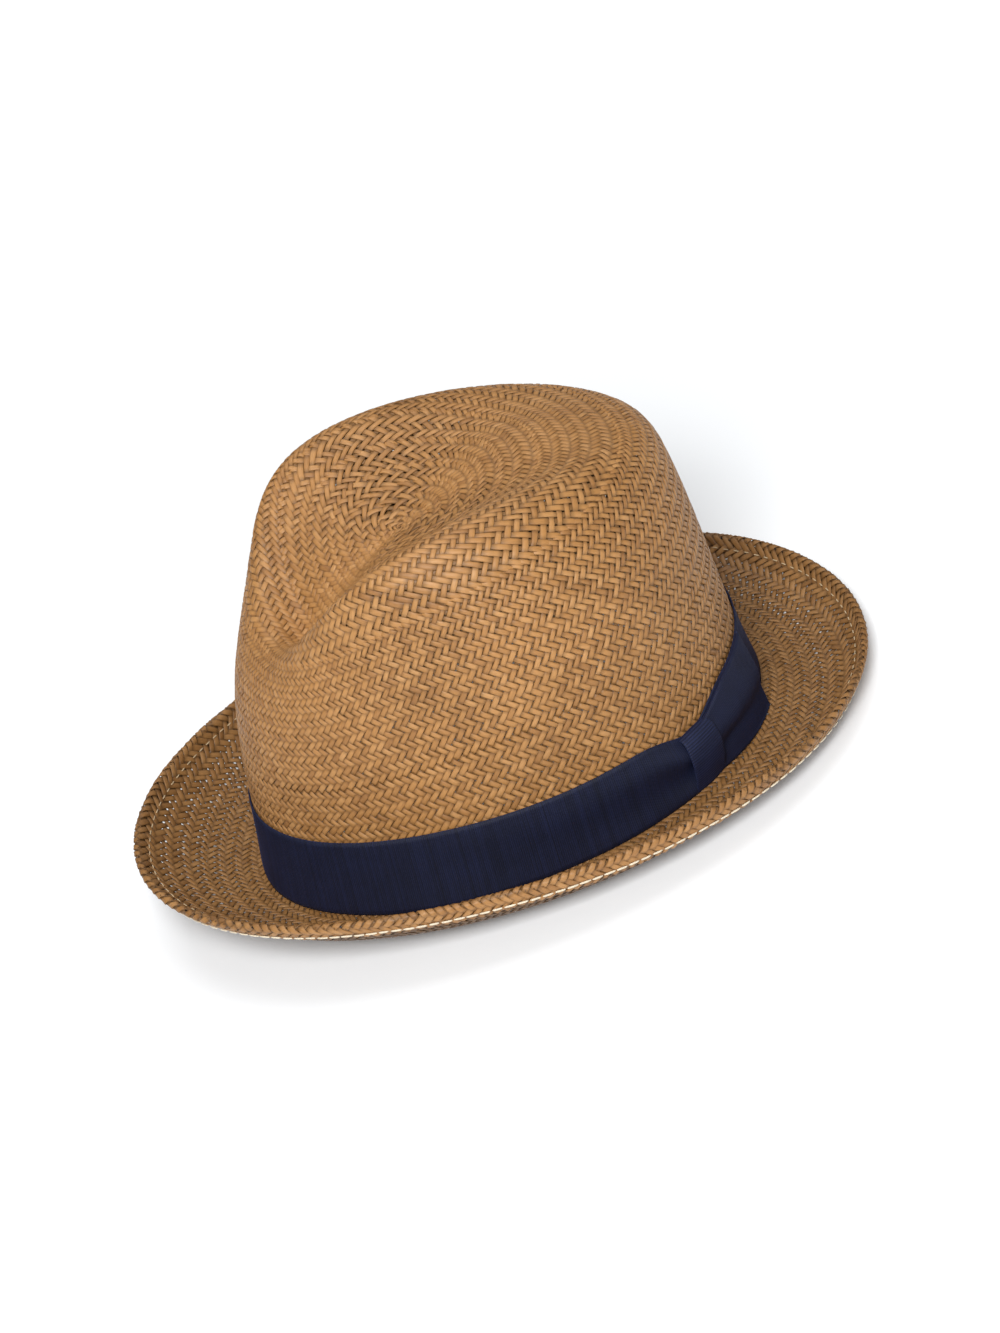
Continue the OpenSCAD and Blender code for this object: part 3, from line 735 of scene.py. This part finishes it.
# ---------------------------------------------------------------- stitches
def capsules(name, mids, dirs, outs, length, wide, high, mat):
    """Short rounded stitches: one closed capsule each, lying along dirs with its top toward outs."""
    t = np.array([-1, -0.86, -0.45, 0.45, 0.86, 1.0])
    rad = np.array([0.25, 0.75, 1, 1, 0.75, 0.25])
    a = np.arange(8) / 8 * 2 * np.pi
    side = np.cross(outs, dirs)
    half = (length / 2)[:, None, None, None]
    ring = (mids[:, None, None] + dirs[:, None, None] * (t[None, :, None, None] * half)
            + side[:, None, None] * (np.cos(a)[None, None, :, None] * rad[None, :, None, None] * wide / 2)
            + outs[:, None, None] * (np.sin(a)[None, None, :, None] * rad[None, :, None, None] * high / 2
                                     - (0.16 * t ** 2)[None, :, None, None] * high))
    n = len(mids)
    vid = np.arange(n * 48).reshape(n, 6, 8)
    beside = np.roll(vid, -1, 2)
    q = [np.stack([vid[:, :-1], beside[:, :-1], beside[:, 1:], vid[:, 1:]], -1).reshape(-1, 4)]
    for end, rev in ((0, True), (5, False)):
        r = vid[:, end]
        e = np.concatenate([r[:, [0, 1, 2, 3]], r[:, [0, 3, 4, 7]], r[:, [4, 5, 6, 7]]])
        q.append(e[:, ::-1] if rev else e)
    ob = mesh_from(name, ring.reshape(-1, 3), np.concatenate(q), [mat])
    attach(ob, "root")
    return ob


cream = thread_mat("cream_thread", (240, 226, 198))
beige = thread_mat("beige_thread", (206, 180, 140))
N_ST = 168
f_st = (np.arange(N_ST) + 0.5) * 2 * np.pi / N_ST


def hem_line(inset, up, wobble):
    f = f_st + 0
    s_in = brim_w(f) - inset + wobble
    p = brim_pt(f, s_in, up) + lift
    ahead, behind = (brim_pt(f + h, brim_w(f + h) - inset + wobble, up) for h in (0.01, -0.01))
    d = ahead - behind
    d /= np.linalg.norm(d, axis=1, keepdims=True)
    o = brim_pt(f, s_in, up + 1) - brim_pt(f, s_in, up)
    o -= d * (o * d).sum(1, keepdims=True)
    o /= np.linalg.norm(o, axis=1, keepdims=True)
    skew = 0.05 * (rng.random(N_ST) - 0.5)[:, None]
    d = d + np.cross(o, d) * skew
    return p, d / np.linalg.norm(d, axis=1, keepdims=True), o


STITCH_IN = HEM_W - 2.1
p, d, o = hem_line(STITCH_IN, -STRAW_T * 1.5 - 1.0, 0.25 * (rng.random(N_ST) - 0.5))
lower = capsules("hem_stitches_under", p, d, -o, 4.3 + 0.9 * (rng.random(N_ST) - 0.6), 1.0, 0.6, cream)
p, d, o = hem_line(STITCH_IN, STRAW_T / 2 + 0.12, 0.2 * (rng.random(N_ST) - 0.5))
upper = capsules("hem_stitches_top", p, d, o, 2.6 + 0.5 * (rng.random(N_ST) - 0.5), 0.5, 0.4, beige)
for ob in (lower, upper):
    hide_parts("hem_stitching")


# ---------------------------------------------------------------- sweatband and what is sewn to it
def in_pt(deg, z, d):
    return wall_pt(deg, z, -STRAW_T / 2 - d)


REED_R, REED_Z, REED_IN, SWEAT_H, SWEAT_T, CLEAR = 0.9, 4.2, 3.1, 33.0, 0.9, 0.35
a = np.radians(np.arange(0, 181, 15.0))
r1 = REED_R + 0.15 + SWEAT_T / 2
sec = np.concatenate([[(SWEAT_H, CLEAR + 0.45), (27, CLEAR + 0.65), (SWEAT_H * 0.6, CLEAR + 1.05),
                       (14, CLEAR + 1.9), (REED_Z + 5, REED_IN + r1 - 0.4)],
                      np.stack([REED_Z - r1 * np.sin(a), REED_IN + r1 * np.cos(a)], -1),
                      [(REED_Z + 2, REED_IN - r1 - 0.1), (REED_Z + 4, REED_IN - r1 - 0.2)]])
tn = np.gradient(sec, axis=0)
tn /= np.linalg.norm(tn, axis=1, keepdims=True)
sn = np.stack([tn[:, 1], -tn[:, 0]], -1)
if sn[0, 1] < 0:
    sn = -sn
along = np.concatenate([[0], np.cumsum(np.linalg.norm(np.diff(sec, axis=0), axis=1))])
s_mm = np.linspace(0, ROUND, 1441)
s_deg = np.append(deg_of(s_mm[:-1] / ROUND * 2 * np.pi), 360.0)
ripple = ((0.18 * np.sin(s_mm / 17.0) + 0.1 * np.sin(s_mm / 6.1 + 2))[None]
          * np.clip(1 - along / 24, 0, 1)[:, None] * np.clip(along / 4, 0, 1)[:, None])
faces = [sec[:, None] + sn[:, None] * (q + ripple)[..., None] for q in (0.32, -0.32)]
g_deg = np.broadcast_to(s_deg[None], ripple.shape)
cotton = cloth_mat("sweatband_cotton", (214, 196, 160))
sweat = ribbon_piece("sweatband_strip", in_pt(g_deg, faces[0][..., 0], faces[0][..., 1]),
                     in_pt(g_deg, faces[1][..., 0], faces[1][..., 1]), s_mm[None], along[:, None], cotton,
                     "sweatband_cloth", "sweatband")

N_SW = 110
f_sw = (np.arange(N_SW) + 0.5) * 360 / N_SW
sw_mid = in_pt(f_sw, REED_Z + 3.6, REED_IN + REED_R + SWEAT_T + 0.2)
sw_out = -out_dir(np.radians(f_sw))
sw_dir = np.stack([-sw_out[:, 1], sw_out[:, 0], 0 * f_sw], -1)
run = capsules("sweatband_stitches", sw_mid, sw_dir, sw_out, 2.9 + 0.4 * (rng.random(N_SW) - 0.5),
               0.5, 0.4, cream)
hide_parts("sweatband_stitching")


def tape(name, centre, ex, ey, ez, x, y, z, thick, mat, slot_name, cad_node, ribs=0.0):
    """A small closed piece of ribbon on axes ex, ey and ez at centre, from its grids x, y and height z."""
    pos = lambda h: centre + x[..., None] * ex + y[..., None] * ey + h[..., None] * ez
    rel = ribs * np.cos(2 * np.pi * np.arange(x.shape[1]) / 4)[None]
    ob = ribbon_piece(name, pos(z + thick / 2 + rel), pos(z - thick / 2), x, y, mat, slot_name, cad_node)
    return ob


# Small flat bow over the sweatband's back join
ez = -out_dir(np.array([np.pi]))[0]
ex = np.array([1.0, 0, 0])
ey = np.array([0, 0, 1.0])
mid = in_pt(np.array([180.0]), 16, CLEAR + 1.5 + SWEAT_T)[0]
satin = ribbon_mat("sweatband_bow_ribbon", (14, 18, 42), (52, 60, 104))
for sgn, side_name in ((-1, "left"), (1, "right")):
    gx, gy = np.meshgrid(np.linspace(0, 1, 61), np.linspace(-1, 1, 13))
    half = 1.6 + 2.9 * gx ** 0.7
    gz = 1.0 + 0.9 * np.sin(np.pi * gx ** 0.8) * (1 - 0.5 * gy ** 2) - 0.35 * np.cos(gy * 7) * (1 - gx) ** 2
    loop_x = 0.8 + 8.6 * gx - 0.6 * gx * gy ** 2
    tape("sweatband_bow_" + side_name, mid, ex * sgn, ey * sgn, ez, loop_x, half * gy, gz, 0.5, satin,
         "bow_ribbon", "sweatband_bow", 0.03)
gx, gy = np.meshgrid(np.linspace(-1.9, 1.9, 25), np.linspace(-1, 1, 21))
knot_z = 0.4 + 2.0 * np.sqrt(np.clip(1 - (gy * 0.98) ** 2, 0, 1))
tape("sweatband_bow_knot", mid, ex, ey, ez, gx * (1 - 0.15 * (1 - gy ** 2)), gy * 2.3, knot_z, 0.5, satin,
     "bow_ribbon", "sweatband_bow", 0.03)

# Blank woven size label and its two stitches
LABEL = np.array([205.0])
lz = -out_dir(np.radians(LABEL))[0]
lx = np.array([-lz[1], lz[0], 0])
spot = in_pt(LABEL, 20, CLEAR + 3.1)[0]
gx, gy = np.meshgrid(np.linspace(-8, 8, 81), np.linspace(-5.5, 5.5, 23))
gz = -0.012 * gx ** 2 + 0.25 * np.clip(-gy / 5.5, 0, 1) ** 2 * (1 + 0.4 * np.sin(gx / 2.1))
label_cloth = cloth_mat("label_weave", (238, 238, 232), 0.5)
tape("size_label_tab", spot, lx, ey, lz, gx, gy, gz, 0.3, label_cloth, "label_cloth",
     "size_label")
two = np.array([spot + lx * q * 6.5 + ey * 4.0 + lz * -0.25 for q in (-1, 1)])
tacks = capsules("size_label_tacks", two, np.stack([lx] * 2), np.stack([lz] * 2), np.array([1.8, 1.8]),
                 0.5, 0.45, thread_mat("label_thread", (60, 70, 112)))
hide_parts("size_label_stitches")

for name, mat in (("brim_wire", metal_mat("drawn_steel", (196, 198, 202), 0.35)),
                  ("brim_wire_ferrule", metal_mat("brass_tube", (214, 186, 118), 0.3)),
                  ("sweatband_reed", cloth_mat("reed_cord", (232, 228, 214)))):
    node_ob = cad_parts[name]
    node_ob.data.materials.clear()
    node_ob.data.materials.append(mat)

# ---------------------------------------------------------------- floor, light, camera
bpy.ops.mesh.primitive_plane_add(size=60, location=(0, 0, 0))
floor = bpy.context.object
floor.name = "floor"
fm, fnt, fb = new_mat("pale_floor")
fb.inputs["Base Color"].default_value = (0.84, 0.86, 0.88, 1)
fb.inputs["Roughness"].default_value = 0.8
fb.inputs["Specular IOR Level"].default_value = 0.1
fb.inputs["Emission Color"].default_value = (1, 1, 1, 1)
# Painted light: the floor glows, faintly near the hat and brighter from 0.2 m to 1.1 m out, so a painted
# shade rings the hat
ftc = node(fnt, "ShaderNodeTexCoord")
far = node(fnt, "ShaderNodeVectorMath", operation="LENGTH")
fnt.links.new(ftc.outputs["Object"], far.inputs[0])
glow = node(fnt, "ShaderNodeMapRange", interpolation_type="SMOOTHSTEP",
            **{"From Min": 0.2, "From Max": 1.1, "To Min": 0.13, "To Max": 0.75})
fnt.links.new(far.outputs["Value"], glow.inputs["Value"])
fnt.links.new(glow.outputs[0], fb.inputs["Emission Strength"])
floor.data.materials.append(fm)

world = bpy.data.worlds.new("studio")
bpy.context.scene.world = world
world.use_nodes = True
world.node_tree.nodes["Background"].inputs[0].default_value = (1, 1, 1, 1)
world.node_tree.nodes["Background"].inputs[1].default_value = 0.22


def area(name, loc, target, size, power):
    li = bpy.data.lights.new(name, "AREA")
    li.shape = "RECTANGLE"
    li.size, li.size_y = size
    li.energy = power
    ob = bpy.data.objects.new(name, li)
    ob.location = loc
    ob.rotation_euler = (Vector(target) - Vector(loc)).to_track_quat("-Z", "Y").to_euler()
    bpy.context.scene.collection.objects.link(ob)


area("key_box", (1.2, -0.42, 1.15), (0, 0, 0.06), (0.6, 0.45), 28)
area("back_box", (-0.3, 0.1, 1.6), (0, 0, 0.0), (1.1, 1.1), 11)

AZ, EL, ROLL, DIST, FOCAL, CX, CY = 78.0, 31.8, -21.8, 1440.0, 3640.0, -3.5, 36.3
az, el, roll = (math.radians(x) for x in (AZ, EL, ROLL))
back = Vector((math.sin(az) * math.cos(el), -math.cos(az) * math.cos(el), math.sin(el)))
right = Vector((math.cos(az), math.sin(az), 0))
up = back.cross(right)
r2 = math.cos(roll) * right + math.sin(roll) * up
u2 = -math.sin(roll) * right + math.cos(roll) * up
cam_data = bpy.data.cameras.new("camera")
cam = bpy.data.objects.new("camera", cam_data)
bpy.context.scene.collection.objects.link(cam)
cam_data.sensor_fit = "HORIZONTAL"
cam_data.sensor_width = 36
cam_data.lens = FOCAL / 1000 * 36
cam_data.clip_end = 50
loc = (back * DIST + r2 * CX + u2 * CY + Vector(lift)) * MM
cam.matrix_world = Matrix(((r2.x, u2.x, back.x, loc.x), (r2.y, u2.y, back.y, loc.y),
                           (r2.z, u2.z, back.z, loc.z), (0, 0, 0, 1)))
bpy.context.scene.camera = cam
bpy.context.scene.view_settings.view_transform = "Standard"
